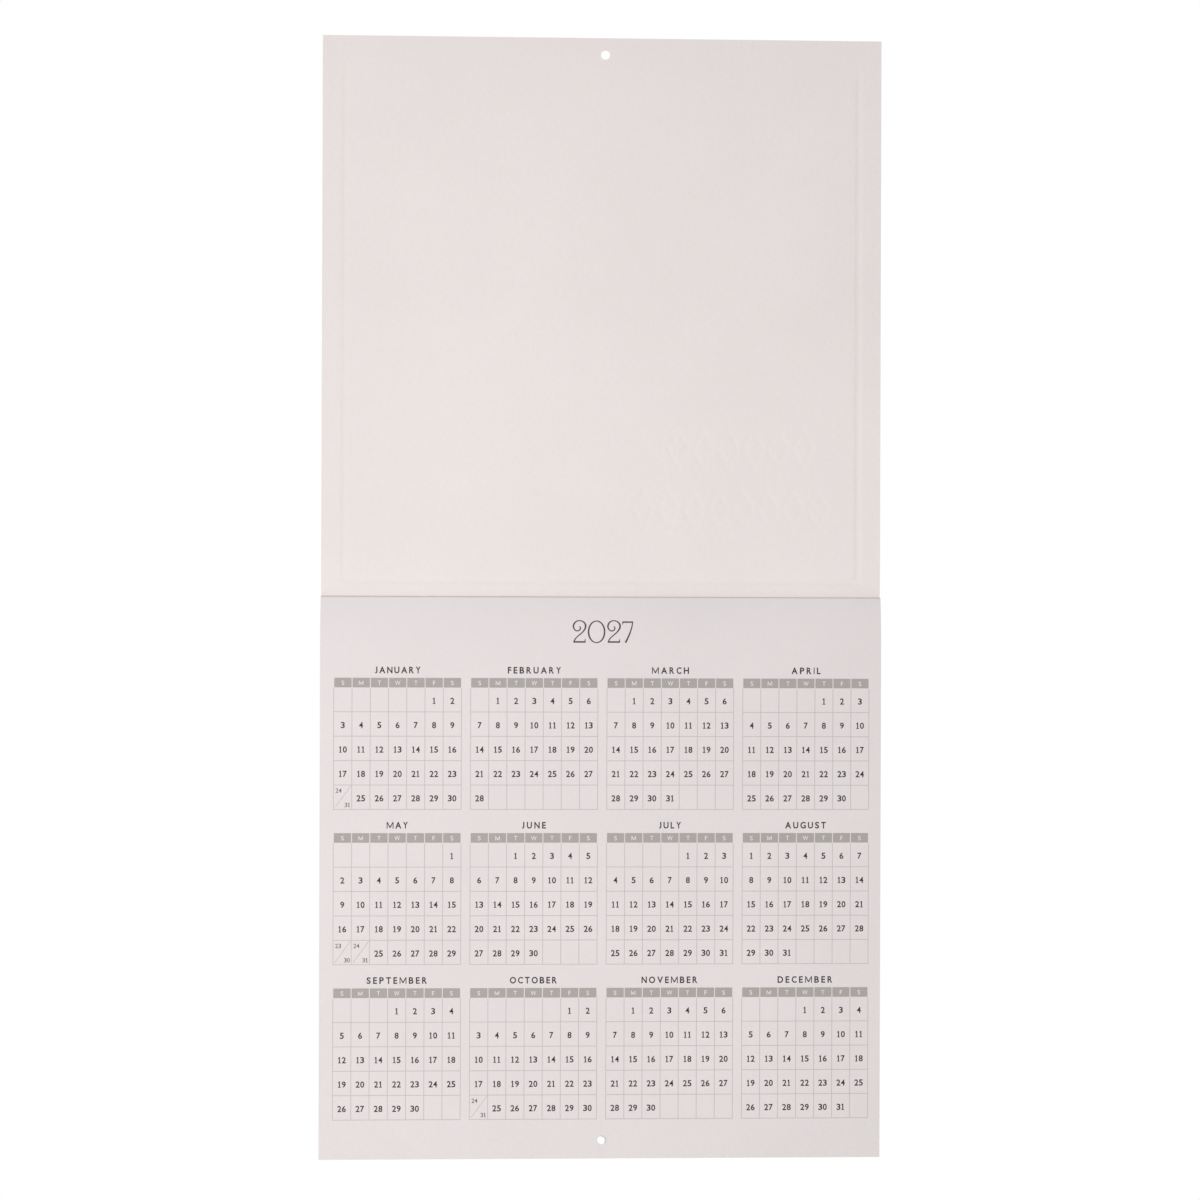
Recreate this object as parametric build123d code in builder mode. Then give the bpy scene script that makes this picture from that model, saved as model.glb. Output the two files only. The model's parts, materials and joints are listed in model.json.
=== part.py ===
from build123d import *
import os

# Wall calendar of twelve by twelve inch leaves, saddle-stitched, hanging open at its first page.
# X runs across the calendar, the front faces -Y, the wall is behind at +Y, and +Z is up.
# The origin is the centre of the hanging hole, on the back face of the front cover.

# ---- Driving dimensions, in millimetres ----
leaf_width = 304.8            # across, along X
leaf_height = 304.8           # from the fold to the outer edge, along Z
cover_thickness = 0.35        # one layer of cover card
leaf_thickness = 0.15         # one leaf of coated paper
folded_sheets = 7             # sheets in the block, each giving two leaves

hole_diameter = 5.0           # hanging holes, punched through the closed calendar
hole_from_edge = 9.2          # from a hole's centre to the outer edge
hole_off_middle = 1.2         # how far right of the sheets' middle the holes are punched

belly_half = 2.3              # half the block where its leaves puff out below the fold
belly_from_fold = 27.0
edge_half = 1.25              # half the block at its outer edge

crease_dip = 1.0              # how far the covers sink back at their fold
crease_reach = 25.0           # how far from the fold that dip starts

wire_diameter = 0.6           # staple wire
wire_bend = 0.6               # bend radius at the middle of the wire
staple_width = 13.0           # crown, between the middles of the legs
staple_from_middle = 71.0     # from the middle of the spine to the middle of a staple
clinch_gap = 1.6              # between the two clinched tips

cover_clearance = 0.2         # air between the puffed block and a cover
wire_clearance = 0.15         # air round the wire where it passes through card or paper
crown_clearance = 0.05        # between a crown and the cover that it bears on

# ---- Worked-out places ----
wire_radius = wire_diameter / 2
fold_hollow = wire_radius + wire_clearance              # radius inside the innermost fold
fold_radius = fold_hollow + folded_sheets * leaf_thickness
cover_inner = belly_half + cover_clearance              # from the hinge line to a cover's inner face
cover_outer = cover_inner + cover_thickness

middle_x = -hole_off_middle
hinge_y = -cover_outer
hinge_z = hole_from_edge - leaf_height
hole_from_fold = leaf_height - hole_from_edge

# Section plane across the spine: local x is +Y, local y is +Z, origin on the hinge line.
section = Plane(origin=(middle_x, hinge_y, hinge_z), x_dir=(0, 1, 0), z_dir=(1, 0, 0))
# Upright plane through the hinge line, facing the front: local x is +X, local y is +Z.
upright = Plane(origin=(middle_x, hinge_y, hinge_z), x_dir=(1, 0, 0), z_dir=(0, -1, 0))
# Level plane of the staple wires: local x is +X, local y is +Y.
level = Plane(origin=(middle_x, hinge_y, hinge_z), x_dir=(1, 0, 0), z_dir=(0, 0, 1))

staple_middles = {"staple_left": -staple_from_middle, "staple_right": staple_from_middle}
leg_sides = [(middle, side) for middle in staple_middles.values() for side in (-1, 1)]
leg_places = [(middle + side * staple_width / 2, 0) for middle, side in leg_sides]


def make_cover(side):
    """One half of the cover card, flat and easing back to the fold; side is 1 up, -1 down."""
    outer_edge = side * leaf_height
    dip_start = side * crease_reach
    with BuildPart() as cover:
        with BuildSketch(section):
            with BuildLine():
                inner = Line((cover_inner, outer_edge), (cover_inner, dip_start))
                inner_dip = TangentArc(
                    inner @ 1, (cover_inner + crease_dip, 0), tangent=inner % 1
                )
                outer = Line((cover_outer, outer_edge), (cover_outer, dip_start))
                outer_dip = TangentArc(
                    outer @ 1, (cover_outer + crease_dip, 0), tangent=outer % 1
                )
                Line(inner_dip @ 1, outer_dip @ 1)
                Line(inner @ 0, outer @ 0)
            make_face()
        extrude(amount=leaf_width / 2, both=True)
        # Hanging hole near the outer edge.
        with BuildSketch(upright):
            with Locations((hole_off_middle, side * hole_from_fold)):
                Circle(hole_diameter / 2)
        extrude(amount=leaf_height, both=True, mode=Mode.SUBTRACT)
        # Pierced places where the legs of the staples pass through the fold.
        with BuildSketch(upright):
            with Locations(*leg_places):
                Circle(wire_radius + wire_clearance)
        extrude(amount=leaf_height, both=True, mode=Mode.SUBTRACT)
    return cover


def make_staple(middle):
    """A staple: crown behind the fold, legs through it, tips clinched in the fold's hollow."""
    left = middle - staple_width / 2
    right = middle + staple_width / 2
    crown_y = cover_outer + crease_dip + crown_clearance + wire_radius
    with BuildPart() as staple:
        with BuildLine(level) as wire:
            FilletPolyline(
                (middle - clinch_gap / 2, 0),
                (left, 0),
                (left, crown_y),
                (right, crown_y),
                (right, 0),
                (middle + clinch_gap / 2, 0),
                radius=wire_bend,
            )
        with BuildSketch(Plane(origin=wire.line @ 0, z_dir=wire.line % 0)):
            Circle(wire_radius)
        sweep(path=wire.line)
    return staple


# ---- Covers: one folded card, whose halves meet edge to edge at the fold ----
front_cover = make_cover(1)
back_cover = make_cover(-1)

# ---- Pages: the folded sheets as one block, round at the fold and puffed out below it ----
with BuildPart() as pages:
    with BuildSketch(section):
        with BuildLine():
            ThreePointArc((fold_radius, 0), (0, fold_radius), (-fold_radius, 0))
            for face in (-1, 1):
                Bezier(
                    (face * fold_radius, 0),
                    (face * fold_radius, -belly_from_fold / 3),
                    (face * belly_half, -belly_from_fold * 2 / 3),
                    (face * belly_half, -belly_from_fold),
                )
                Bezier(
                    (face * belly_half, -belly_from_fold),
                    (face * belly_half, -leaf_height / 3),
                    (face * edge_half, -leaf_height * 2 / 3),
                    (face * edge_half, -leaf_height),
                )
            Line((edge_half, -leaf_height), (-edge_half, -leaf_height))
        make_face()
    extrude(amount=leaf_width / 2, both=True)
    # The innermost sheet leaves a round hollow along the fold.
    with BuildSketch(section):
        Circle(fold_hollow)
    extrude(amount=leaf_width, both=True, mode=Mode.SUBTRACT)
    # Slots in the fold let the leaves turn round the legs and bends of the staples.
    slot_outside = wire_radius + wire_clearance
    slot_inside = wire_bend + slot_outside
    slot_width = slot_outside + slot_inside
    slot_depth = fold_hollow + fold_radius
    with BuildSketch(upright):
        for middle, side in leg_sides:
            slot_x = middle + side * (staple_width / 2 + slot_outside - slot_width / 2)
            with Locations((slot_x, (fold_radius - fold_hollow) / 2)):
                Rectangle(slot_width, slot_depth)
    extrude(amount=belly_half * 2, both=True, mode=Mode.SUBTRACT)
    # Hanging hole near the outer edge, in line with the back cover's.
    with BuildSketch(upright):
        with Locations((hole_off_middle, -hole_from_fold)):
            Circle(hole_diameter / 2)
    extrude(amount=leaf_height, both=True, mode=Mode.SUBTRACT)

# ---- Staples: one pair through the fold, all the same ----
staples = {name: make_staple(middle) for name, middle in staple_middles.items()}

# ---- Labels and files ----
pieces = {"front_cover": front_cover, "back_cover": back_cover, "pages": pages, **staples}
os.makedirs("parts", exist_ok=True)
for name, piece in pieces.items():
    piece.part.label = name
    export_step(piece.part, f"parts/{name}.step")
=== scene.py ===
"""Looks of the wall calendar: an opened, stapled square calendar hung by the hole in its cover.

Lengths are in metres in the frame of the CAD model: X to the right, +Y towards the wall, +Z up.
A place on the sheets is (x, s): x as in the frame, and s the distance below the fold, so that
s is negative on the front cover. A place in the print is given in millimetres from the left
edge of the front leaf and below the fold.
"""

import calendar
import json
import math
import random

import bpy
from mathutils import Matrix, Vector

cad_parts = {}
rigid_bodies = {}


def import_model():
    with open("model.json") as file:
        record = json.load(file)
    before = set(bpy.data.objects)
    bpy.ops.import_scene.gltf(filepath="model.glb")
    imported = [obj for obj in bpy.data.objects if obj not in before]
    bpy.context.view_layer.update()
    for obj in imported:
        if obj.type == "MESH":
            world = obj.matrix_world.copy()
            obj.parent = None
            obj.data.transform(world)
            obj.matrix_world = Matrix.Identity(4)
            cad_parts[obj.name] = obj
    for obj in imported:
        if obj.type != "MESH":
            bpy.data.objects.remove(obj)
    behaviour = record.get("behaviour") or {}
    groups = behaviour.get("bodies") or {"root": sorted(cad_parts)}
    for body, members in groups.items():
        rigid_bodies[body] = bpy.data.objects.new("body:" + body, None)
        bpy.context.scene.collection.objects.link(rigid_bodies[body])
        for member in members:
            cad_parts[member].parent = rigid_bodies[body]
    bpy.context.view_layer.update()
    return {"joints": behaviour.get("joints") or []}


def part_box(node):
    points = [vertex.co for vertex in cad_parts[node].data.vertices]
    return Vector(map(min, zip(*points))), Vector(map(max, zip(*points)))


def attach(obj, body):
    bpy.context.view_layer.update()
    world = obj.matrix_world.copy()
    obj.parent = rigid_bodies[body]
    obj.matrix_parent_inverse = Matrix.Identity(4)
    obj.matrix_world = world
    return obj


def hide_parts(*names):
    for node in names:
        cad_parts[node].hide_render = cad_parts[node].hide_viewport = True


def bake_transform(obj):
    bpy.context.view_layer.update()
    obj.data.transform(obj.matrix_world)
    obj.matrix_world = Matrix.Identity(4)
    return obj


for leftover in list(bpy.data.objects):
    bpy.data.objects.remove(leftover)

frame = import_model()

MM = 0.001
TINY = 1e-9
SHEET_ANGLE = 50
WIRE_ANGLE = 60

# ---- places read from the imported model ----
HINGE = Vector(frame["joints"][0]["pos_m"])
FOLD_Z = HINGE.z
FRONT_LOW, FRONT_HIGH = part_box("front_cover")
BACK_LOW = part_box("back_cover")[0]
PAGES_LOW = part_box("pages")[0]
SHEET_LEFT = FRONT_LOW.x
SHEET_RIGHT = FRONT_HIGH.x
SHEET_MIDDLE = (SHEET_LEFT + SHEET_RIGHT) / 2
COVER_RISE = FRONT_HIGH.z - FOLD_Z
COVER_DROP = FOLD_Z - BACK_LOW.z
PAGE_DROP = FOLD_Z - PAGES_LOW.z
CARD = -FRONT_LOW.y
CREASE_DIP = FRONT_HIGH.y
CREASE_REACH = 25 * MM

# ---- the holes, each in a square patch of finer mesh that reaches HOLE_PATCH from its middle ----
HOLE_RADIUS = 2.5 * MM
HOLE_FROM_EDGE = FRONT_HIGH.z
HOLE_X = 0.0
HANG_HOLE_S = -(COVER_RISE - HOLE_FROM_EDGE)
PAGE_HOLE_S = PAGE_DROP - HOLE_FROM_EDGE
HOLE_PATCH = 4.2 * MM
PATCH_CELLS = 8
PATCH_MARGIN = 0.3 * MM
COVER_HOLE_DRIFT = (-0.9 * MM, 0.45 * MM)

# ---- the page block ----
SHEETS = 7
PAPER = 0.15 * MM
STAPLE_ROOM = 0.6 * MM
LOOP_FLAT = 0.5
COVER_GAP = 0.2 * MM
FOLD_BACK_Y = -CARD + CREASE_DIP - COVER_GAP
FOLD_SLACK = 0.02 * MM
FOLD_FRONT_Y = FOLD_BACK_Y - 2 * SHEETS * PAPER - STAPLE_ROOM - FOLD_SLACK
LOOP_DROP = (FOLD_BACK_Y - FOLD_FRONT_Y) / 2 * LOOP_FLAT
BELLY_S = 27 * MM
BELLY_FRONT_Y = PAGES_LOW.y
EDGE_HALF = 1.25 * MM
EDGE_FRONT_Y = HINGE.y - EDGE_HALF
STAGGER = 0.35 * MM
# rows of points on a leaf: where the fold and the swelling below it end, and the rows' spacing
FOLD_END = 12 * MM
SWELL_END = 32 * MM
FOLD_STEP = 0.55 * MM
SWELL_STEP = 1.6 * MM
FLAT_STEP = 11 * MM
LAST_STEP = 1.5 * MM
COLUMN_STEP = 24 * MM

# ---- the print, in millimetres on the page ----
MONTH_LEFT = 7.45
MONTH_PITCH = 73.93
MONTH_COLUMNS = 4
CELL_WIDE = 9.851
CELL_HIGH = 13.20
WEEKS = 5
WEEKDAYS = "SMTWTFS"
DAYS = len(WEEKDAYS)
BAR_BOTTOM = 49.25
BAR_HIGH = 5.2
BAND_PITCH = 84.05
BAR_GAP = 0.5
GRID_BELOW_BAR = 0.3
LINE_WIDE = 0.34
NAME_HIGH = 3.6
NAME_ABOVE_BAR = 2.45
LETTER_HIGH = 2.4
LETTER_DROP = 0.15
DIGIT_HIGH = 3.4
DIGIT_WIDE = 2.15
ONE_WIDE = 1.95
DIGIT_GAP = 0.32
DIGIT_DROP = 0.6
SMALL_DIGIT_HIGH = 2.35
# a cell shared by two dates: its diagonal and dates, measured in from the cell's corners
DIAGONAL_WIDE = 0.3
DIAGONAL_STEPS = 8
DIAGONAL_FOOT = (1.0, 1.2)
DIAGONAL_HEAD = (0.4, 0.4)
FIRST_DATE = (2.75, 1.85)
SECOND_DATE = (2.35, 1.25)
YEAR = 2027
YEAR_LEFT = 136.6
YEAR_BASE = 24.85
CUT_MARGIN = 0.01
INK_LIFT = 0.03 * MM
TEXT_LIFT = 0.05 * MM
NAME_WIDTHS = {
    "JANUARY": 24.6,
    "FEBRUARY": 28.8,
    "MARCH": 20.1,
    "APRIL": 15.8,
    "MAY": 11.4,
    "JUNE": 13.0,
    "JULY": 12.0,
    "AUGUST": 22.3,
    "SEPTEMBER": 32.6,
    "OCTOBER": 25.5,
    "NOVEMBER": 30.4,
    "DECEMBER": 29.9,
}

rng = random.Random(7)


# ---------------------------------------------------------------- curves of the sheets

def smooth(t):
    """0 to 1 with a soft start and end."""
    t = min(max(t, 0.0), 1.0)
    return t * t * (3 - 2 * t)


def crease(s):
    """How far the cover bends towards the wall beside the fold."""
    away = abs(s)
    if away >= CREASE_REACH:
        return 0.0
    return CREASE_DIP * ((CREASE_REACH - away) / CREASE_REACH) ** 2


def block_front(s):
    """Y of the front of the page block."""
    if s < BELLY_S:
        t = 1 - s / BELLY_S
        return BELLY_FRONT_Y + (FOLD_FRONT_Y - BELLY_FRONT_Y) * t * t
    t = (s - BELLY_S) / (PAGE_DROP - BELLY_S)
    return BELLY_FRONT_Y + (EDGE_FRONT_Y - BELLY_FRONT_Y) * smooth(t)


def block_back(s):
    """Y of the back of the page block, which hangs against the back cover."""
    return -CARD + crease(s) - COVER_GAP


# ---------------------------------------------------------------- meshes

def spaced(start, end, step):
    """Evenly spaced values from start to end, at most step apart."""
    count = max(1, math.ceil(abs(end - start) / step - TINY))
    return [start + (end - start) * i / count for i in range(count + 1)]


def merged(values, apart=0.05 * MM):
    """Sorted values without near repeats."""
    out = []
    for value in sorted(values):
        if not out or value - out[-1] > apart:
            out.append(value)
    return out


def lines_clear_of(values, centre):
    """The values outside a hole's square patch, with the patch's own lines added."""
    kept = [v for v in values if abs(v - centre) > HOLE_PATCH + PATCH_MARGIN]
    cell = 2 * HOLE_PATCH / PATCH_CELLS
    return sorted(kept + spaced(centre - HOLE_PATCH, centre + HOLE_PATCH, cell))


def nearest(values, value):
    """The index of the value closest to the one asked for."""
    return min(range(len(values)), key=lambda i: abs(values[i] - value))


def flat_grid(xs, ts, holes):
    """Points and quads over the lines xs and ts, with rings of quads round each hole.

    A hole is (x, t, dx, dt): the middle of its patch, and how far the hole is off that middle.
    """
    wide = len(xs)
    points = [(x, t) for t in ts for x in xs]
    patches = []
    for x, t, _, _ in holes:
        i0, i1 = nearest(xs, x - HOLE_PATCH), nearest(xs, x + HOLE_PATCH)
        j0, j1 = nearest(ts, t - HOLE_PATCH), nearest(ts, t + HOLE_PATCH)
        patches.append((i0, i1, j0, j1))
    faces = []
    for j in range(len(ts) - 1):
        for i in range(wide - 1):
            if any(i0 <= i < i1 and j0 <= j < j1 for i0, i1, j0, j1 in patches):
                continue
            a = j * wide + i
            faces.append((a, a + 1, a + wide + 1, a + wide))
    for (x, t, dx, dt), (i0, i1, j0, j1) in zip(holes, patches):
        loop = [j0 * wide + i for i in range(i0, i1)]
        loop += [j * wide + i1 for j in range(j0, j1)]
        loop += [j1 * wide + i for i in range(i1, i0, -1)]
        loop += [j * wide + i0 for j in range(j1, j0, -1)]
        rim = []
        for corner in loop:
            angle = math.atan2(points[corner][1] - t, points[corner][0] - x)
            rim_x = x + dx + HOLE_RADIUS * math.cos(angle)
            rim_t = t + dt + HOLE_RADIUS * math.sin(angle)
            rim.append((rim_x, rim_t))
        outer = loop
        for share in (0.5, 1.0):
            ring = []
            for corner, (rim_x, rim_t) in zip(loop, rim):
                start_x, start_t = points[corner]
                ring.append(len(points))
                point_x = start_x + (rim_x - start_x) * share
                point_t = start_t + (rim_t - start_t) * share
                points.append((point_x, point_t))
            for k in range(len(outer)):
                n = (k + 1) % len(outer)
                faces.append((outer[k], outer[n], ring[n], ring[k]))
            outer = ring
    return points, faces


def slab(points, faces, place, thickness):
    """A closed sheet: the flat grid bent by place(x, t) -> (middle point, outward normal)."""
    used = sorted({v for face in faces for v in face})
    index = {v: i for i, v in enumerate(used)}
    count = len(used)
    outer, inner = [], []
    for v in used:
        middle, normal = place(*points[v])
        outer.append(middle + normal * (thickness / 2))
        inner.append(middle - normal * (thickness / 2))
    solid = [tuple(index[v] for v in face) for face in faces]
    # a side that no neighbour shares is on the rim; a dict keeps them in order, as a set would not
    sides = {}
    for face in solid:
        for a, b in zip(face, face[1:] + face[:1]):
            sides[(a, b)] = True
    walls = [(b, a, a + count, b + count) for a, b in sides if (b, a) not in sides]
    back = [tuple(v + count for v in reversed(face)) for face in solid]
    return outer + inner, solid + back + walls


def turned(tangent):
    """The normal on the outside of the fold for a tangent that goes round it."""
    return Vector((0.0, -tangent.z, tangent.y)).normalized()


def join(parts):
    """One list of points and faces out of several."""
    points, faces = [], []
    for part_points, part_faces in parts:
        start = len(points)
        points.extend(part_points)
        faces.extend(tuple(v + start for v in face) for face in part_faces)
    return points, faces


def piece(name, points, faces, material, smooth_angle=None):
    """A mesh object with its material, shaded smooth below an edge angle where one is given."""
    mesh = bpy.data.meshes.new(name)
    mesh.from_pydata([tuple(p) for p in points], [], faces)
    mesh.validate()
    mesh.materials.append(material)
    if smooth_angle is not None:
        mesh.shade_smooth()
        mesh.set_sharp_from_angle(angle=math.radians(smooth_angle))
    obj = bpy.data.objects.new(name, mesh)
    bpy.context.scene.collection.objects.link(obj)
    return obj


# ---------------------------------------------------------------- materials

def srgb(red, green, blue):
    """A colour of 0-255 screen values as the linear colour that a shader takes."""
    out = []
    for value in (red, green, blue):
        c = value / 255
        out.append(c / 12.92 if c <= 0.04045 else ((c + 0.055) / 1.055) ** 2.4)
    return (*out, 1.0)


CLOUD_SCALE = 9.0
ROLL_SCALE = 38.0
ROLL_DEPTH = 0.05 * MM
FIBRE_STRETCH = (1.0, 1.0, 0.45)
MOTTLE_SCALE = 1400.0
INK_SPECULAR = 0.3
WIRE_LINE_SCALE = 2600.0
WIRE_STRETCH = (0.04, 1.0, 1.0)
FINE_DEPTH = 0.01 * MM
FLOOR_SCALE = 3.0


class Nodes:
    """Shorthand for the node tree of one material."""

    def __init__(self, name):
        self.material = bpy.data.materials.new(name)
        self.material.use_nodes = True
        self.tree = self.material.node_tree
        self.tree.nodes.clear()
        out = self.add("ShaderNodeOutputMaterial")
        self.shader = self.add("ShaderNodeBsdfPrincipled")
        self.link(self.shader.outputs["BSDF"], out.inputs["Surface"])
        self.coords = self.add("ShaderNodeTexCoord").outputs["Object"]

    def add(self, kind, **values):
        """A new node with the given settings."""
        node = self.tree.nodes.new(kind)
        for key, value in values.items():
            setattr(node, key, value)
        return node

    def link(self, start, end):
        """A wire from an output to an input."""
        self.tree.links.new(start, end)

    def noise(self, scale, detail=4.0, roughness=0.55, stretch=None):
        """Noise over the object's own coordinates, stretched along its axes where asked."""
        node = self.add("ShaderNodeTexNoise")
        node.inputs["Scale"].default_value = scale
        node.inputs["Detail"].default_value = detail
        node.inputs["Roughness"].default_value = roughness
        if stretch:
            mapping = self.add("ShaderNodeMapping")
            mapping.inputs["Scale"].default_value = stretch
            self.link(self.coords, mapping.inputs["Vector"])
            self.link(mapping.outputs["Vector"], node.inputs["Vector"])
        else:
            self.link(self.coords, node.inputs["Vector"])
        return node.outputs["Fac"]

    def ramp(self, value, stops):
        """A colour ramp with (position, colour) stops."""
        node = self.add("ShaderNodeValToRGB")
        ramp = node.color_ramp
        ramp.elements[0].position, ramp.elements[0].color = stops[0]
        ramp.elements[1].position, ramp.elements[1].color = stops[-1]
        for position, colour in stops[1:-1]:
            ramp.elements.new(position).color = colour
        self.link(value, node.inputs["Fac"])
        return node.outputs["Color"]

    def mix(self, factor, first, second, blend="MIX"):
        """Two colours blended by a constant factor."""
        node = self.add("ShaderNodeMix", data_type="RGBA", blend_type=blend)
        node.inputs["Factor"].default_value = factor
        self.link(first, node.inputs["A"])
        self.link(second, node.inputs["B"])
        return node.outputs["Result"]

    def spread(self, value, low, high):
        """The value 0-1 moved to low-high."""
        node = self.add("ShaderNodeMapRange")
        node.inputs["To Min"].default_value = low
        node.inputs["To Max"].default_value = high
        self.link(value, node.inputs["Value"])
        return node.outputs["Result"]

    def bump(self, height, distance, strength=1.0, under=None):
        """A bump of the given depth, on top of another one where asked."""
        node = self.add("ShaderNodeBump")
        node.inputs["Distance"].default_value = distance
        node.inputs["Strength"].default_value = strength
        self.link(height, node.inputs["Height"])
        if under:
            self.link(under, node.inputs["Normal"])
        return node.outputs["Normal"]


def paper_material(name, low, high, fibre_scale, grain_depth, rough, specular):
    """Uncoated stock: slow changes of tone, fibres, and a fine tooth that catches the light."""
    nodes = Nodes(name)
    tone = nodes.ramp(nodes.noise(CLOUD_SCALE, 3.0), [(0.35, low), (0.65, high)])
    fibres = nodes.noise(fibre_scale, 6.0, 0.7, FIBRE_STRETCH)
    fibre_tone = nodes.ramp(fibres, [(0.3, srgb(252, 251, 251)), (0.6, srgb(255, 255, 255))])
    colour = nodes.mix(1.0, tone, fibre_tone, "MULTIPLY")
    nodes.link(colour, nodes.shader.inputs["Base Color"])
    nodes.link(nodes.spread(fibres, rough - 0.06, rough + 0.08), nodes.shader.inputs["Roughness"])
    nodes.shader.inputs["Specular IOR Level"].default_value = specular
    tooth = nodes.noise(fibre_scale * 4, 5.0, 0.6)
    rolling = nodes.bump(nodes.noise(ROLL_SCALE, 2.0), ROLL_DEPTH, 0.6)
    nodes.link(nodes.bump(tooth, grain_depth, 0.5, rolling), nodes.shader.inputs["Normal"])
    return nodes.material


def ink_material(name, low, high, rough):
    """Printing ink on paper: mottled, a little smoother than the stock and just as fibrous."""
    nodes = Nodes(name)
    mottle = nodes.noise(MOTTLE_SCALE, 4.0, 0.65)
    nodes.link(nodes.ramp(mottle, [(0.3, low), (0.7, high)]), nodes.shader.inputs["Base Color"])
    nodes.link(nodes.spread(mottle, rough - 0.05, rough + 0.1), nodes.shader.inputs["Roughness"])
    nodes.shader.inputs["Specular IOR Level"].default_value = INK_SPECULAR
    nodes.link(nodes.bump(mottle, FINE_DEPTH, 0.4), nodes.shader.inputs["Normal"])
    return nodes.material


def steel_material():
    """Drawn staple wire: long fine lines along the wire and small changes of brightness."""
    nodes = Nodes("drawn_steel")
    drawn = nodes.noise(WIRE_LINE_SCALE, 4.0, 0.7, WIRE_STRETCH)
    tone = nodes.ramp(drawn, [(0.3, srgb(168, 167, 165)), (0.7, srgb(208, 207, 205))])
    nodes.link(tone, nodes.shader.inputs["Base Color"])
    nodes.shader.inputs["Metallic"].default_value = 1.0
    nodes.link(nodes.spread(drawn, 0.22, 0.42), nodes.shader.inputs["Roughness"])
    nodes.link(nodes.bump(drawn, FINE_DEPTH, 0.5), nodes.shader.inputs["Normal"])
    return nodes.material


def floor_material():
    """Plain pale floor with a faint cloudiness."""
    nodes = Nodes("studio_floor")
    cloud = nodes.noise(FLOOR_SCALE, 3.0)
    tone = nodes.ramp(cloud, [(0.3, srgb(232, 231, 229)), (0.7, srgb(238, 237, 235))])
    nodes.link(tone, nodes.shader.inputs["Base Color"])
    nodes.link(nodes.spread(cloud, 0.7, 0.85), nodes.shader.inputs["Roughness"])
    return nodes.material


CARD_STOCK = paper_material(
    "cover_card", srgb(233, 225, 223), srgb(236, 228, 226),
    fibre_scale=900.0, grain_depth=0.006 * MM, rough=0.74, specular=0.35,
)
PAGE_STOCK = paper_material(
    "page_paper", srgb(223, 216, 216), srgb(226, 219, 219),
    fibre_scale=1100.0, grain_depth=0.005 * MM, rough=0.62, specular=0.4,
)
BAR_INK = ink_material("bar_ink", srgb(164, 158, 155), srgb(172, 166, 163), 0.6)
BAR_TEXT = ink_material("bar_text", srgb(228, 224, 222), srgb(236, 232, 230), 0.65)
LINE_INK = ink_material("line_ink", srgb(186, 178, 178), srgb(198, 190, 190), 0.65)
TEXT_INK = ink_material("text_ink", srgb(26, 21, 24), srgb(42, 36, 39), 0.55)
SMALL_INK = ink_material("small_ink", srgb(76, 69, 72), srgb(96, 89, 92), 0.55)
YEAR_INK = ink_material("year_ink", srgb(56, 48, 55), srgb(72, 64, 71), 0.5)
STEEL = steel_material()


# ---------------------------------------------------------------- the cover

BORDER_SIDE = 12.4 * MM
BORDER_ABOVE_FOLD = 8.7 * MM
BORDER_TOP = 13 * MM
BORDER_HALF = 1.1 * MM
BORDER_SLOPE = 0.45 * MM
BORDER_FADE = 10 * MM
EMBOSS = 0.16 * MM

# left, right, top and bottom of each row, from the sheet's left edge and the fold, and its lozenges
LOZENGE_ROWS = (
    (187 * MM, 269 * MM, -94 * MM, -68 * MM, 6),
    (168 * MM, 277 * MM, -60 * MM, -36 * MM, 8),
)
LOZENGE_STROKE = 1.5 * MM
LOZENGE_SLOPE = 0.8 * MM
LOZENGE_DEPTH = 0.15 * MM
# how far out from a lozenge's middle its outline runs, as a share of its half width and height
LOZENGE_SHARE = 0.8

BAND_MARGIN = 3 * MM
ORNAMENT_MARGIN = 2 * MM
ORNAMENT_STEP = 1.0 * MM
SIDE_STEP = 5 * MM
PLAIN_STEP = 8 * MM
ABOVE_FOLD_STEP = 3 * MM
COVER_FOLD_ZONE = 5 * MM
COVER_FOLD_STEP = 0.4 * MM
CREASE_STEP = 2 * MM
BACK_STEP = 10 * MM


def ridge(distance, half, slope):
    """A flat-topped ridge: 1 within half of its middle line, 0 beyond half + slope."""
    return smooth((half + slope - abs(distance)) / slope)


def border_height(x, s):
    """The embossed frame of the front cover: two sides and the line above the fold."""
    side = min(x - SHEET_LEFT, SHEET_RIGHT - x)
    inward = min(side - BORDER_SIDE, -s - BORDER_ABOVE_FOLD)
    fade = smooth((COVER_RISE + s - BORDER_TOP) / BORDER_FADE)
    return ridge(inward, BORDER_HALF, BORDER_SLOPE) * fade


def lozenge_height(x, s):
    """Two embossed rows of plain outlined lozenges."""
    for left, right, top, bottom, count in LOZENGE_ROWS:
        along = x - SHEET_LEFT - left
        if not (0 <= along <= right - left and top <= s <= bottom):
            continue
        pitch = (right - left) / count
        half_wide = pitch / 2
        half_high = (bottom - top) / 2
        across = abs((along % pitch) - half_wide)
        up = abs(s - (top + bottom) / 2)
        reach = across / half_wide + up / half_high
        distance = (reach - LOZENGE_SHARE) * half_wide * half_high / math.hypot(half_wide, half_high)
        return ridge(distance, LOZENGE_STROKE / 2, LOZENGE_SLOPE)
    return 0.0


def cover_middle(x, s):
    """Middle of the cover's card at (x, s)."""
    y = -CARD / 2 + crease(s)
    if s < 0:
        y += EMBOSS * border_height(x, s) + LOZENGE_DEPTH * lozenge_height(x, s)
    return Vector((x, y, FOLD_Z - s))


def cover_place(x, s):
    """Middle of the card at (x, s), and the way its outer face looks."""
    step = 0.2 * MM
    ahead = min(max(s + step, -COVER_RISE), COVER_DROP)
    behind = min(max(s - step, -COVER_RISE), COVER_DROP)
    tangent = cover_middle(x, ahead) - cover_middle(x, behind)
    return cover_middle(x, s), turned(tangent)


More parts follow.
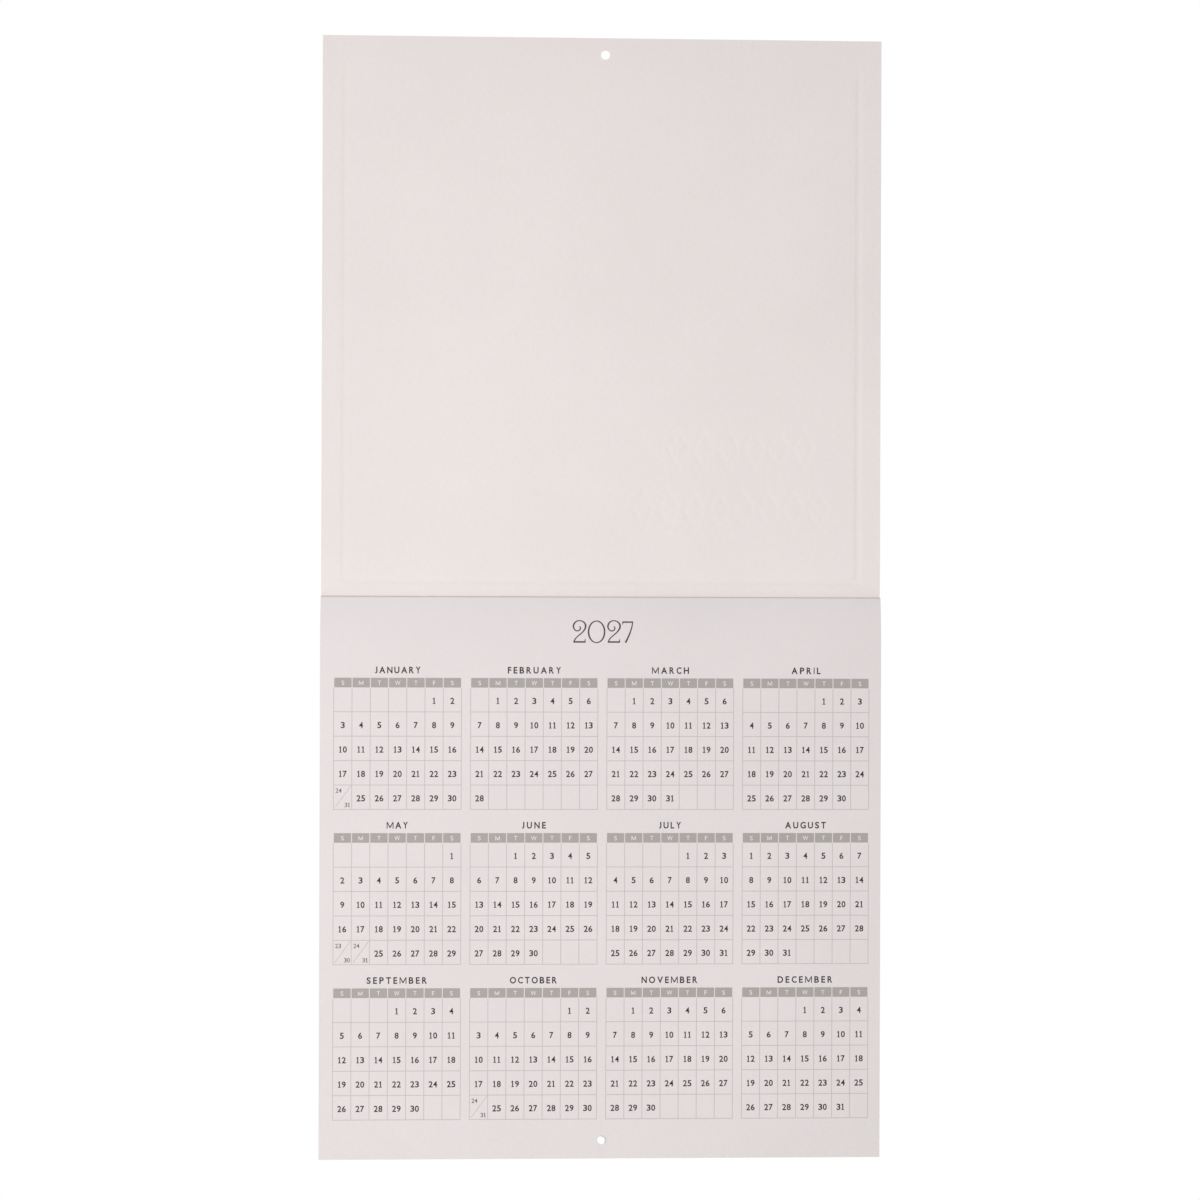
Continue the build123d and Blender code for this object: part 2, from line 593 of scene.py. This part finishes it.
def band_lines(centre):
    """Grid lines that carry one embossed band."""
    edge = BORDER_HALF + BORDER_SLOPE
    middle = BORDER_HALF + BORDER_SLOPE / 2
    reaches = (edge, middle, BORDER_HALF)
    return [centre + sign * reach for sign in (-1, 1) for reach in reaches] + [centre]


def cover_columns():
    """The x of the cover's grid lines: fine where it is embossed."""
    left, right = SHEET_LEFT, SHEET_RIGHT
    ornament_left = min(row[0] for row in LOZENGE_ROWS) + left - ORNAMENT_MARGIN
    ornament_right = max(row[1] for row in LOZENGE_ROWS) + left + ORNAMENT_MARGIN
    inner_left = left + BORDER_SIDE + BAND_MARGIN
    inner_right = right - BORDER_SIDE - BAND_MARGIN
    xs = spaced(left, left + BORDER_SIDE - BAND_MARGIN, SIDE_STEP)
    xs += band_lines(left + BORDER_SIDE)
    xs += spaced(inner_left, ornament_left, PLAIN_STEP)
    xs += spaced(ornament_left, min(ornament_right, inner_right), ORNAMENT_STEP)
    xs.append(inner_right)
    xs += band_lines(right - BORDER_SIDE)
    xs += spaced(right - BORDER_SIDE + BAND_MARGIN, right, SIDE_STEP)
    return lines_clear_of(merged(xs), HOLE_X)


def cover_rows():
    """The s of the cover's grid lines: fine where it is embossed and at the fold."""
    ornament_top = min(row[2] for row in LOZENGE_ROWS) - ORNAMENT_MARGIN
    ornament_bottom = max(row[3] for row in LOZENGE_ROWS) + ORNAMENT_MARGIN
    ss = spaced(-COVER_RISE, ornament_top, PLAIN_STEP)
    ss += spaced(ornament_top, ornament_bottom, ORNAMENT_STEP)
    ss += spaced(ornament_bottom, -BORDER_ABOVE_FOLD - BAND_MARGIN, ABOVE_FOLD_STEP)
    ss += band_lines(-BORDER_ABOVE_FOLD)
    ss += spaced(-COVER_FOLD_ZONE, COVER_FOLD_ZONE, COVER_FOLD_STEP)
    ss += spaced(COVER_FOLD_ZONE, CREASE_REACH, CREASE_STEP)
    ss += spaced(CREASE_REACH, COVER_DROP, BACK_STEP)
    ss = merged(ss)
    ss = lines_clear_of(ss, HANG_HOLE_S)
    return lines_clear_of(ss, PAGE_HOLE_S)


def make_cover():
    """One folded card, with its two holes, crease and embossing."""
    holes = [(HOLE_X, HANG_HOLE_S, 0.0, 0.0), (HOLE_X, PAGE_HOLE_S, *COVER_HOLE_DRIFT)]
    points, faces = slab(*flat_grid(cover_columns(), cover_rows(), holes), cover_place, CARD)
    cover = piece("cover", points, faces, CARD_STOCK, SHEET_ANGLE)
    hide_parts("front_cover", "back_cover")
    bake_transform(cover)


# ---------------------------------------------------------------- the pages

AIR_RANGE = (0.5, 1.5)
HOLE_JITTER = 0.05


def leaf_weights():
    """The share of the block's air in front of each leaf: none in front of the first one."""
    raw = [0.0] + [rng.uniform(*AIR_RANGE) for _ in range(2 * SHEETS - 1)]
    total = sum(raw)
    return [value / total for value in raw]


LEAF_AIR = leaf_weights()
# how far a leaf's hole is off its place: the first leaf's, and what each further leaf adds
FIRST_HOLE = (-0.25 * MM, -1.0 * MM)
LEAF_DRIFT = (-0.06 * MM, 0.105 * MM)


def leaf_y(leaf, s):
    """Y of the middle of a leaf, 0 the front one. Near the fold the staple's room parts the halves."""
    front = block_front(s)
    back = block_back(s)
    near_fold = 1 - smooth(s / FOLD_END)
    room = STAPLE_ROOM * near_fold
    air = back - front - 2 * SHEETS * PAPER - room
    y = front + PAPER / 2 + leaf * PAPER + air * sum(LEAF_AIR[:leaf + 1])
    if leaf >= SHEETS:
        y += room
    return y


def leaf_rows(drop):
    """Distances below the fold at which every leaf has a row of points."""
    rows = spaced(LOOP_DROP, FOLD_END, FOLD_STEP)
    rows += spaced(FOLD_END, SWELL_END, SWELL_STEP)
    rows += spaced(SWELL_END, PAGE_HOLE_S - HOLE_PATCH, FLAT_STEP)
    rows = lines_clear_of(merged(rows), PAGE_HOLE_S)
    rows += [drop - LAST_STEP, drop]
    return rows


def make_sheet(number):
    """One folded sheet: a front leaf, a tight turn at the fold and a back leaf."""
    front_leaf = number
    back_leaf = 2 * SHEETS - 1 - number
    y_front = leaf_y(front_leaf, LOOP_DROP)
    y_back = leaf_y(back_leaf, LOOP_DROP)
    radius = (y_back - y_front) / 2
    turn = math.pi * radius / 2
    drops = {}
    for leaf in (front_leaf, back_leaf):
        drops[leaf] = PAGE_DROP - (0 if leaf == 0 else rng.uniform(0, STAGGER))
    left = SHEET_LEFT + (0 if number == 0 else rng.uniform(0, STAGGER))
    right = SHEET_RIGHT - (0 if number == 0 else rng.uniform(0, STAGGER))

    def middle(x, t):
        if t < -turn:
            s = -t - turn + LOOP_DROP
            return Vector((x, leaf_y(front_leaf, s), FOLD_Z - s))
        if t > turn:
            s = t - turn + LOOP_DROP
            return Vector((x, leaf_y(back_leaf, s), FOLD_Z - s))
        angle = t / radius
        y = (y_front + y_back) / 2 + radius * math.sin(angle)
        rise = radius * LOOP_FLAT * math.cos(angle) - LOOP_DROP
        return Vector((x, y, FOLD_Z + rise))

    def place(x, t):
        step = min(0.02 * MM, radius / 8)
        return middle(x, t), turned(middle(x, t + step) - middle(x, t - step))

    shift = turn - LOOP_DROP
    ts = [-(s + shift) for s in reversed(leaf_rows(drops[front_leaf]))]
    ts += [turn * share for share in (-0.75, -0.5, -0.25, 0, 0.25, 0.5, 0.75)]
    ts += [s + shift for s in leaf_rows(drops[back_leaf])]
    xs = lines_clear_of(spaced(left, right, COLUMN_STEP), HOLE_X)
    holes = []
    for leaf, side in ((front_leaf, -1), (back_leaf, 1)):
        drift_x = FIRST_HOLE[0] + leaf * LEAF_DRIFT[0] + rng.uniform(-HOLE_JITTER, HOLE_JITTER) * MM
        drift_s = FIRST_HOLE[1] + leaf * LEAF_DRIFT[1] + rng.uniform(-HOLE_JITTER, HOLE_JITTER) * MM
        holes.append((HOLE_X, side * (PAGE_HOLE_S + shift), drift_x, side * drift_s))
    return slab(*flat_grid(xs, ts, holes), place, PAPER)


def make_pages():
    """The folded sheets of the calendar, nested in each other and pressed into the cover's crease."""
    points, faces = join([make_sheet(number) for number in range(SHEETS)])
    pages = piece("pages_block", points, faces, PAGE_STOCK, SHEET_ANGLE)
    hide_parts("pages")
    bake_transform(pages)


# ---------------------------------------------------------------- the print

FRONT_ROWS = leaf_rows(PAGE_DROP)


def printed(x, s, lift):
    """A point of the print: on the straight run between two rows of the front leaf, lifted off it."""
    row = max(i for i, value in enumerate(FRONT_ROWS) if value <= s + TINY)
    row = min(row, len(FRONT_ROWS) - 2)
    above, below = FRONT_ROWS[row], FRONT_ROWS[row + 1]
    share = (s - above) / (below - above)
    y = leaf_y(0, above) * (1 - share) + leaf_y(0, below) * share
    return Vector((x, y - PAPER / 2 - lift, FOLD_Z - s))


class Print:
    """Flat printed shapes of one ink, collected in page millimetres."""

    def __init__(self, lift):
        self.lift = lift
        self.points = []
        self.faces = []

    def add(self, points, faces):
        start = len(self.points)
        self.points.extend(points)
        self.faces.extend(tuple(v + start for v in face) for face in faces)

    def box(self, left, right, top, bottom):
        """An upright rectangle, cut where the leaf's rows cross it."""
        low, high = top + CUT_MARGIN, bottom - CUT_MARGIN
        cuts = [row / MM for row in FRONT_ROWS if low < row / MM < high]
        levels = [top] + cuts + [bottom]
        points = []
        for level in levels:
            points += [(left, level), (right, level)]
        faces = [(2 * i, 2 * i + 2, 2 * i + 3, 2 * i + 1) for i in range(len(levels) - 1)]
        self.add(points, faces)

    def ribbon(self, path, widths):
        """A stroke along the path with a width at each of its points."""
        points = []
        for i, (x, s) in enumerate(path):
            before = path[max(i - 1, 0)]
            after = path[min(i + 1, len(path) - 1)]
            along = Vector((after[0] - before[0], after[1] - before[1])).normalized()
            half = widths[i] / 2
            points.append((x - along.y * half, s + along.x * half))
            points.append((x + along.y * half, s - along.x * half))
        faces = [(2 * i, 2 * i + 2, 2 * i + 3, 2 * i + 1) for i in range(len(path) - 1)]
        self.add(points, faces)

    def make(self, name, material):
        """The collected shapes as one piece, every face turned to the viewer."""
        points = [printed(SHEET_LEFT + x * MM, s * MM, self.lift) for x, s in self.points]
        faces = []
        for face in self.faces:
            a, b, c = (points[v] for v in face[:3])
            turned_away = (b - a).cross(c - a).y > 0
            faces.append(tuple(reversed(face)) if turned_away else face)
        obj = piece(name, points, faces, material)
        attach(obj, "pages")


# growth thickens a character's strokes; letter widths are shares of its height
GLYPHS = {}
NAME_GROWTH = 0.024
DAY_GROWTH = 0.021
WEEKDAY_GROWTH = 0.002
SMALL_GROWTH = 0.004
LETTER_WIDTHS = {
    "A": 0.92, "B": 0.70, "C": 0.74, "D": 0.84, "E": 0.57, "F": 0.53, "G": 0.84, "H": 0.78, "I": 0.13,
    "J": 0.37, "L": 0.54, "M": 1.02, "N": 0.80, "O": 0.93, "P": 0.66, "R": 0.72, "S": 0.62,
    "T": 0.72, "U": 0.77, "V": 0.86, "W": 1.22, "Y": 0.72,
}


def em_glyph():
    """The capital M in a box 1 high: two stems and two strokes that meet at the foot."""
    wide, stem, foot = 1.06, 0.13, 0.17
    foot_up, notch_up = 0.12, 0.32
    middle = wide / 2
    points = [(0, 0), (stem, 0), (stem, 1), (0, 1)]
    points += [(wide - stem, 0), (wide, 0), (wide, 1), (wide - stem, 1)]
    notch = (middle, notch_up)
    foot_left = (middle - foot / 2, foot_up)
    foot_right = (middle + foot / 2, foot_up)
    points += [(stem, 1), (0, 1), foot_left, notch]
    points += [(wide, 1), (wide - stem, 1), notch, foot_right]
    points += [foot_left, foot_right, notch]
    faces = [(0, 1, 2, 3), (4, 5, 6, 7), (8, 9, 10, 11), (12, 13, 14, 15), (16, 17, 18)]
    return points, faces, wide


def one_glyph():
    """The digit 1 with a flag and a foot, in a box 1 high."""
    wide, middle, half = 0.6, 0.30, 0.09
    stem = [(middle - half, 0), (middle + half, 0), (middle + half, 1), (middle - half, 1)]
    foot = [(0.07, 0), (0.53, 0), (0.53, 0.105), (0.07, 0.105)]
    flag_root = middle - half + 0.01
    flag = [(0.06, 0.80), (0.10, 0.70), (flag_root, 0.83), (flag_root, 1.0)]
    points = stem + foot + flag
    return points, [(0, 1, 2, 3), (4, 5, 6, 7), (8, 9, 10, 11)], wide


DRAWN_GLYPHS = {"1": one_glyph, "M": em_glyph}


def glyph(letter, growth):
    """A character's flat mesh, 1 high and from x = 0, with its width: drawn here, or Blender's font."""
    key = (letter, growth)
    if key in GLYPHS:
        return GLYPHS[key]
    if letter in DRAWN_GLYPHS:
        GLYPHS[key] = DRAWN_GLYPHS[letter]()
        return GLYPHS[key]
    curve = bpy.data.curves.new("letter", "FONT")
    curve.body = letter
    curve.resolution_u = 4
    curve.offset = growth
    holder = bpy.data.objects.new("letter", curve)
    mesh = bpy.data.meshes.new_from_object(holder)
    corners = [v.co for v in mesh.vertices]
    left = min(c.x for c in corners)
    right = max(c.x for c in corners)
    low = min(c.y for c in corners)
    high = max(c.y for c in corners)
    tall = high - low
    points = [((c.x - left) / tall, (c.y - low) / tall) for c in corners]
    faces = [tuple(p.vertices) for p in mesh.polygons]
    GLYPHS[key] = (points, faces, (right - left) / tall)
    bpy.data.objects.remove(holder)
    bpy.data.meshes.remove(mesh)
    bpy.data.curves.remove(curve)
    return GLYPHS[key]


def stamp(ink, letter, left, base, high, wide, growth):
    """Prints one character with its lower left corner at (left, base)."""
    points, faces, own = glyph(letter, growth)
    ink.add([(left + px * wide / own, base - py * high) for px, py in points], faces)


def print_spaced(ink, word, middle, base, high, total):
    """A word in spaced letters, centred on middle and as wide as total."""
    widths = [LETTER_WIDTHS[letter] * high for letter in word]
    gap = (total - sum(widths)) / (len(word) - 1)
    left = middle - total / 2
    for letter, wide in zip(word, widths):
        stamp(ink, letter, left, base, high, wide, NAME_GROWTH)
        left += wide + gap


def print_number(ink, number, middle, centre, high, growth):
    """A day number centred on (middle, centre)."""
    share = high / DIGIT_HIGH
    text = str(number)
    widths = []
    for digit in text:
        widths.append((ONE_WIDE if digit == "1" else DIGIT_WIDE) * share)
    left = middle - (sum(widths) + DIGIT_GAP * share * (len(text) - 1)) / 2
    for digit, wide in zip(text, widths):
        stamp(ink, digit, left, centre + high / 2, high, wide, growth)
        left += wide + DIGIT_GAP * share


def print_month(inks, month):
    """One month: its name, the bar of weekdays, the grid and the day numbers."""
    column = (month - 1) % MONTH_COLUMNS
    band = (month - 1) // MONTH_COLUMNS
    left = MONTH_LEFT + column * MONTH_PITCH
    right = left + DAYS * CELL_WIDE
    base = BAR_BOTTOM + band * BAND_PITCH
    bottom = base + WEEKS * CELL_HIGH
    name = calendar.month_name[month].upper()
    print_spaced(inks["text"], name, (left + right) / 2, base - BAR_HIGH - NAME_ABOVE_BAR,
                 NAME_HIGH, NAME_WIDTHS[name])
    for day, letter in enumerate(WEEKDAYS):
        cell = left + day * CELL_WIDE
        inks["bars"].box(cell + BAR_GAP / 2, cell + CELL_WIDE - BAR_GAP / 2, base - BAR_HIGH, base)
        wide = LETTER_WIDTHS[letter] * LETTER_HIGH
        stamp(inks["bar_text"], letter, cell + (CELL_WIDE - wide) / 2,
              base - (BAR_HIGH - LETTER_HIGH) / 2 + LETTER_DROP, LETTER_HIGH, wide, WEEKDAY_GROWTH)
    half = LINE_WIDE / 2
    for line in range(DAYS + 1):
        x = left + line * CELL_WIDE
        inks["lines"].box(x - half, x + half, base + GRID_BELOW_BAR, bottom + half)
    for week in range(1, WEEKS + 1):
        level = base + week * CELL_HIGH
        for line in range(DAYS):
            x = left + line * CELL_WIDE
            inks["lines"].box(x + half, x + CELL_WIDE - half, level - half, level + half)
    weeks = calendar.Calendar(firstweekday=6).monthdayscalendar(YEAR, month)
    spill = weeks[WEEKS] if len(weeks) > WEEKS else [0] * DAYS
    for week in range(min(WEEKS, len(weeks))):
        for day in range(DAYS):
            number = weeks[week][day]
            if not number:
                continue
            x = left + day * CELL_WIDE
            top = base + week * CELL_HIGH
            if week == WEEKS - 1 and spill[day]:
                print_split_cell(inks, x, top, number, spill[day])
            else:
                centre = top + CELL_HIGH / 2 + DIGIT_DROP
                print_number(inks["text"], number, x + CELL_WIDE / 2, centre, DIGIT_HIGH, DAY_GROWTH)


def print_split_cell(inks, left, top, first, second):
    """A cell shared by two dates, cut by a thin diagonal."""
    right = left + CELL_WIDE
    bottom = top + CELL_HIGH
    foot = (left + DIAGONAL_FOOT[0], bottom - DIAGONAL_FOOT[1])
    head = (right - DIAGONAL_HEAD[0], top + DIAGONAL_HEAD[1])
    path = []
    for i in range(DIAGONAL_STEPS + 1):
        x = foot[0] + (head[0] - foot[0]) * i / DIAGONAL_STEPS
        s = foot[1] + (head[1] - foot[1]) * i / DIAGONAL_STEPS
        path.append((x, s))
    inks["lines"].ribbon(path, [DIAGONAL_WIDE] * len(path))
    high = SMALL_DIGIT_HIGH
    first_s = top + FIRST_DATE[1] + high / 2
    second_s = bottom - SECOND_DATE[1] - high / 2
    print_number(inks["small"], first, left + FIRST_DATE[0], first_s, high, SMALL_GROWTH)
    print_number(inks["small"], second, right - SECOND_DATE[0], second_s, high, SMALL_GROWTH)


def curve_through(knots, steps=7):
    """A smooth path through the knots (Catmull-Rom)."""
    path = []
    for i in range(len(knots) - 1):
        before = Vector(knots[max(i - 1, 0)])
        a = Vector(knots[i])
        b = Vector(knots[i + 1])
        after = Vector(knots[min(i + 2, len(knots) - 1)])
        for k in range(steps):
            t = k / steps
            point = 0.5 * (2 * a + (b - before) * t + (2 * before - 5 * a + 4 * b - after) * t * t
                           + (3 * a - before - 3 * b + after) * t ** 3)
            path.append(tuple(point))
    path.append(tuple(knots[-1]))
    return path


def year_stroke(ink, left, knots, widths, steps=7):
    """A stroke of a year numeral. Knots are (right, up) from its lower left corner."""
    path = curve_through(knots, steps)
    spread = curve_through([(w, 0.0) for w in widths], steps)
    ink.ribbon([(left + x, YEAR_BASE - up) for x, up in path], [w for w, _ in spread])


def year_two(ink, left):
    """A thin 2 whose upper end curls inside its bowl."""
    knots = [(3.50, 8.95), (4.12, 8.35), (4.12, 7.55), (3.52, 6.86), (2.37, 6.46), (1.12, 7.08),
             (0.37, 8.83), (0.94, 10.70), (2.37, 11.82), (3.93, 12.01), (5.71, 11.45), (6.86, 9.98),
             (6.92, 8.42), (6.18, 6.86), (4.62, 5.15), (2.75, 3.59), (1.43, 2.18), (0.62, 0.60)]
    widths = [0.45, 0.6, 0.66, 0.66, 0.62, 0.66, 0.82, 0.78, 0.62, 0.56, 0.66, 0.9,
              0.9, 0.76, 0.64, 0.6, 0.62, 0.66]
    year_stroke(ink, left, knots, widths)
    year_stroke(ink, left, [(0.28, 0.5), (6.95, 0.5)], [0.86, 0.86], 2)
    year_stroke(ink, left, [(6.70, 0.5), (6.72, 1.3), (6.80, 2.0)], [0.62, 0.5, 0.3], 2)


def year_nought(ink, left):
    """A tall oval, thicker at its sides."""
    turns = 48
    half_wide, half_high, middle_up = 4.35, 5.85, 5.99
    thin, swell = 0.58, 0.3
    path, widths = [], []
    for i in range(turns + 1):
        angle = 2 * math.pi * i / turns
        s = YEAR_BASE - middle_up - half_high * math.sin(angle)
        path.append((left + half_wide * math.cos(angle), s))
        widths.append(thin + swell * abs(math.cos(angle)) ** 1.5)
    ink.ribbon(path, widths)


def year_seven(ink, left):
    """A 7 with a small serif and a leg that widens to its foot."""
    year_stroke(ink, left, [(0.0, 11.32), (5.9, 11.32)], [0.78, 0.78], 2)
    year_stroke(ink, left, [(0.28, 11.3), (0.22, 10.6), (0.05, 10.0)], [0.66, 0.5, 0.32], 2)
    knots = [(5.62, 11.3), (5.12, 8.58), (4.05, 5.15), (2.65, 2.03), (1.70, 0.14)]
    year_stroke(ink, left, knots, [0.6, 0.64, 0.76, 0.9, 1.02])


# each numeral and how far along the year it stands: a nought by its middle, the others by their left
YEAR_NUMERALS = ((year_two, 0.0), (year_nought, 12.94), (year_two, 18.71), (year_seven, 26.95))


def make_print():
    """Everything printed on the front leaf, one piece for each ink."""
    inks = {
        "bars": Print(INK_LIFT),
        "lines": Print(INK_LIFT),
        "bar_text": Print(TEXT_LIFT),
        "text": Print(INK_LIFT),
        "small": Print(TEXT_LIFT),
        "year": Print(INK_LIFT),
    }
    for month in range(1, 13):
        print_month(inks, month)
    for draw, along in YEAR_NUMERALS:
        draw(inks["year"], YEAR_LEFT + along)
    inks["bars"].make("print_weekday_bars", BAR_INK)
    inks["lines"].make("print_grid_lines", LINE_INK)
    inks["bar_text"].make("print_weekday_letters", BAR_TEXT)
    inks["text"].make("print_names_and_days", TEXT_INK)
    inks["small"].make("print_shared_days", SMALL_INK)
    inks["year"].make("print_year", YEAR_INK)


# ---------------------------------------------------------------- the staples

WIRE = 0.6 * MM
BEND = 0.9 * MM
TIP_GAP = 0.8 * MM
TIP_DROP = 1.2 * MM
END_SHARE = 0.72
END_PUSH = 0.12 * MM


def rounded_path(corners, radius, steps=6):
    """The corner points with each inner corner turned into an arc."""
    path = [corners[0]]
    for before, corner, after in zip(corners, corners[1:], corners[2:]):
        start = corner + (before - corner).normalized() * radius
        end = corner + (after - corner).normalized() * radius
        for i in range(steps + 1):
            t = i / steps
            path.append(start * (1 - t) ** 2 + corner * (2 * t * (1 - t)) + end * t * t)
    path.append(corners[-1])
    return path


def wire_mesh(path, radius, sides=14):
    """A round wire along a path that never runs upright, with slightly rounded ends."""
    rings = []
    last = len(path) - 1
    stops = [(0, END_SHARE, -END_PUSH)]
    stops += [(i, 1.0, 0.0) for i in range(last + 1)]
    stops += [(last, END_SHARE, END_PUSH)]
    for i, share, push in stops:
        before = path[max(i - 1, 0)]
        after = path[min(i + 1, last)]
        along = (after - before).normalized()
        across = along.cross(Vector((0, 0, 1))).normalized()
        upward = across.cross(along)
        ring = []
        for k in range(sides):
            angle = 2 * math.pi * k / sides
            offset = across * math.cos(angle) + upward * math.sin(angle)
            ring.append(path[i] + along * push + offset * radius * share)
        rings.append(ring)
    points = [p for ring in rings for p in ring]
    faces = []
    for r in range(len(rings) - 1):
        for k in range(sides):
            n = (k + 1) % sides
            a, b = r * sides, (r + 1) * sides
            faces.append((a + k, b + k, b + n, a + n))
    faces.append(tuple(range(sides)))
    faces.append(tuple(range(len(points) - 1, len(points) - 1 - sides, -1)))
    return points, faces


def make_staple(node):
    """A staple whose crown lies behind the cover's fold and whose tips are bent over inside the pages."""
    low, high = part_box(node)
    radius = WIRE / 2
    crown_y = high.y - radius
    tips_y = (leaf_y(SHEETS - 1, LOOP_DROP) + leaf_y(SHEETS, LOOP_DROP)) / 2
    z = (low.z + high.z) / 2
    left = low.x + radius
    right = high.x - radius
    middle = (left + right) / 2
    tips_z = z - TIP_DROP
    corners = [
        Vector((middle - TIP_GAP, tips_y, tips_z)),
        Vector((left, tips_y, tips_z)),
        Vector((left, crown_y, z)),
        Vector((right, crown_y, z)),
        Vector((right, tips_y, tips_z)),
        Vector((middle + TIP_GAP, tips_y, tips_z)),
    ]
    points, faces = wire_mesh(rounded_path(corners, BEND), radius)
    staple = piece(node + "_wire", points, faces, STEEL, WIRE_ANGLE)
    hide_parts(node)
    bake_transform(staple)


# ---------------------------------------------------------------- studio

FLOOR_Z = -1.5
FLOOR_RADIUS = 2.2
CAMERA_OFFSET = Vector((-48.7, -1300.0, -5.3)) * MM
CAMERA_TURN = (90.165, -0.183, -2.107)
CAMERA_LENS = 71.6
AMBIENT = 0.43
KEY_PLACE = (-0.42, -1.45, -0.45)
KEY_SIZE = 0.5
KEY_POWER = 13.0
FILL_PLACE = (0.9, 1.9, 0.1)
FILL_SIZE = 1.2
FILL_POWER = 24.0
OVERHEAD_PLACE = (0, 0, 4.0)
OVERHEAD_SIZE = 1.0
OVERHEAD_POWER = 20.0


def make_floor():
    """A round plain floor far below the hanging calendar."""
    sides, rings = 96, 6
    points = [Vector((0, 0, FLOOR_Z))]
    faces = []
    for ring in range(1, rings + 1):
        radius = FLOOR_RADIUS * ring / rings
        for k in range(sides):
            angle = 2 * math.pi * k / sides
            points.append(Vector((radius * math.cos(angle), radius * math.sin(angle), FLOOR_Z)))
    for k in range(sides):
        n = (k + 1) % sides
        faces.append((0, 1 + k, 1 + n))
        for ring in range(rings - 1):
            a = 1 + ring * sides
            b = a + sides
            faces.append((a + k, b + k, b + n, a + n))
    piece("floor", points, faces, floor_material())


def area_light(name, place, target, size, power):
    """A white round lamp that looks at the target and that the camera doesn't see."""
    data = bpy.data.lights.new(name, "AREA")
    data.shape = "DISK"
    data.size = size
    data.energy = power
    lamp = bpy.data.objects.new(name, data)
    lamp.location = place
    lamp.visible_camera = False
    lamp.rotation_euler = (Vector(target) - Vector(place)).to_track_quat("-Z", "Y").to_euler()
    bpy.context.scene.collection.objects.link(lamp)


def make_world():
    """White to the camera and in reflections, and a plain soft light on the object."""
    world = bpy.data.worlds.new("studio")
    bpy.context.scene.world = world
    world.use_nodes = True
    tree = world.node_tree
    tree.nodes.clear()
    out = tree.nodes.new("ShaderNodeOutputWorld")
    seen = tree.nodes.new("ShaderNodeBackground")
    seen.inputs["Color"].default_value = (1, 1, 1, 1)
    seen.inputs["Strength"].default_value = 1.0
    lit = tree.nodes.new("ShaderNodeBackground")
    lit.inputs["Color"].default_value = (1, 1, 1, 1)
    lit.inputs["Strength"].default_value = AMBIENT
    path = tree.nodes.new("ShaderNodeLightPath")
    total = path.outputs["Is Camera Ray"]
    for other in ("Is Glossy Ray", "Is Transmission Ray"):
        either = tree.nodes.new("ShaderNodeMath")
        either.operation = "MAXIMUM"
        tree.links.new(total, either.inputs[0])
        tree.links.new(path.outputs[other], either.inputs[1])
        total = either.outputs[0]
    choose = tree.nodes.new("ShaderNodeMixShader")
    tree.links.new(total, choose.inputs[0])
    tree.links.new(lit.outputs[0], choose.inputs[1])
    tree.links.new(seen.outputs[0], choose.inputs[2])
    tree.links.new(choose.outputs[0], out.inputs["Surface"])


def make_camera():
    """The photograph's view: level with the fold, a little left of the middle."""
    data = bpy.data.cameras.new("camera")
    data.sensor_width = 36
    data.lens = CAMERA_LENS
    data.clip_start = 0.01
    data.clip_end = 50
    camera = bpy.data.objects.new("camera", data)
    camera.location = Vector((SHEET_MIDDLE, 0, FOLD_Z)) + CAMERA_OFFSET
    camera.rotation_euler = [math.radians(angle) for angle in CAMERA_TURN]
    bpy.context.scene.collection.objects.link(camera)
    bpy.context.scene.camera = camera


def make_lights():
    """A soft key from the lower left front, a fill from behind for the back views, one for the floor."""
    target = (SHEET_MIDDLE, 0, FOLD_Z)
    area_light("key", KEY_PLACE, target, KEY_SIZE, KEY_POWER)
    area_light("back_fill", FILL_PLACE, target, FILL_SIZE, FILL_POWER)
    area_light("overhead", OVERHEAD_PLACE, (0, 0, FLOOR_Z), OVERHEAD_SIZE, OVERHEAD_POWER)


make_world()
make_floor()
make_lights()
make_camera()
make_cover()
make_pages()
make_print()
for staple_node in ("staple_left", "staple_right"):
    make_staple(staple_node)

bpy.context.scene.view_settings.view_transform = "Standard"

bpy.context.view_layer.update()
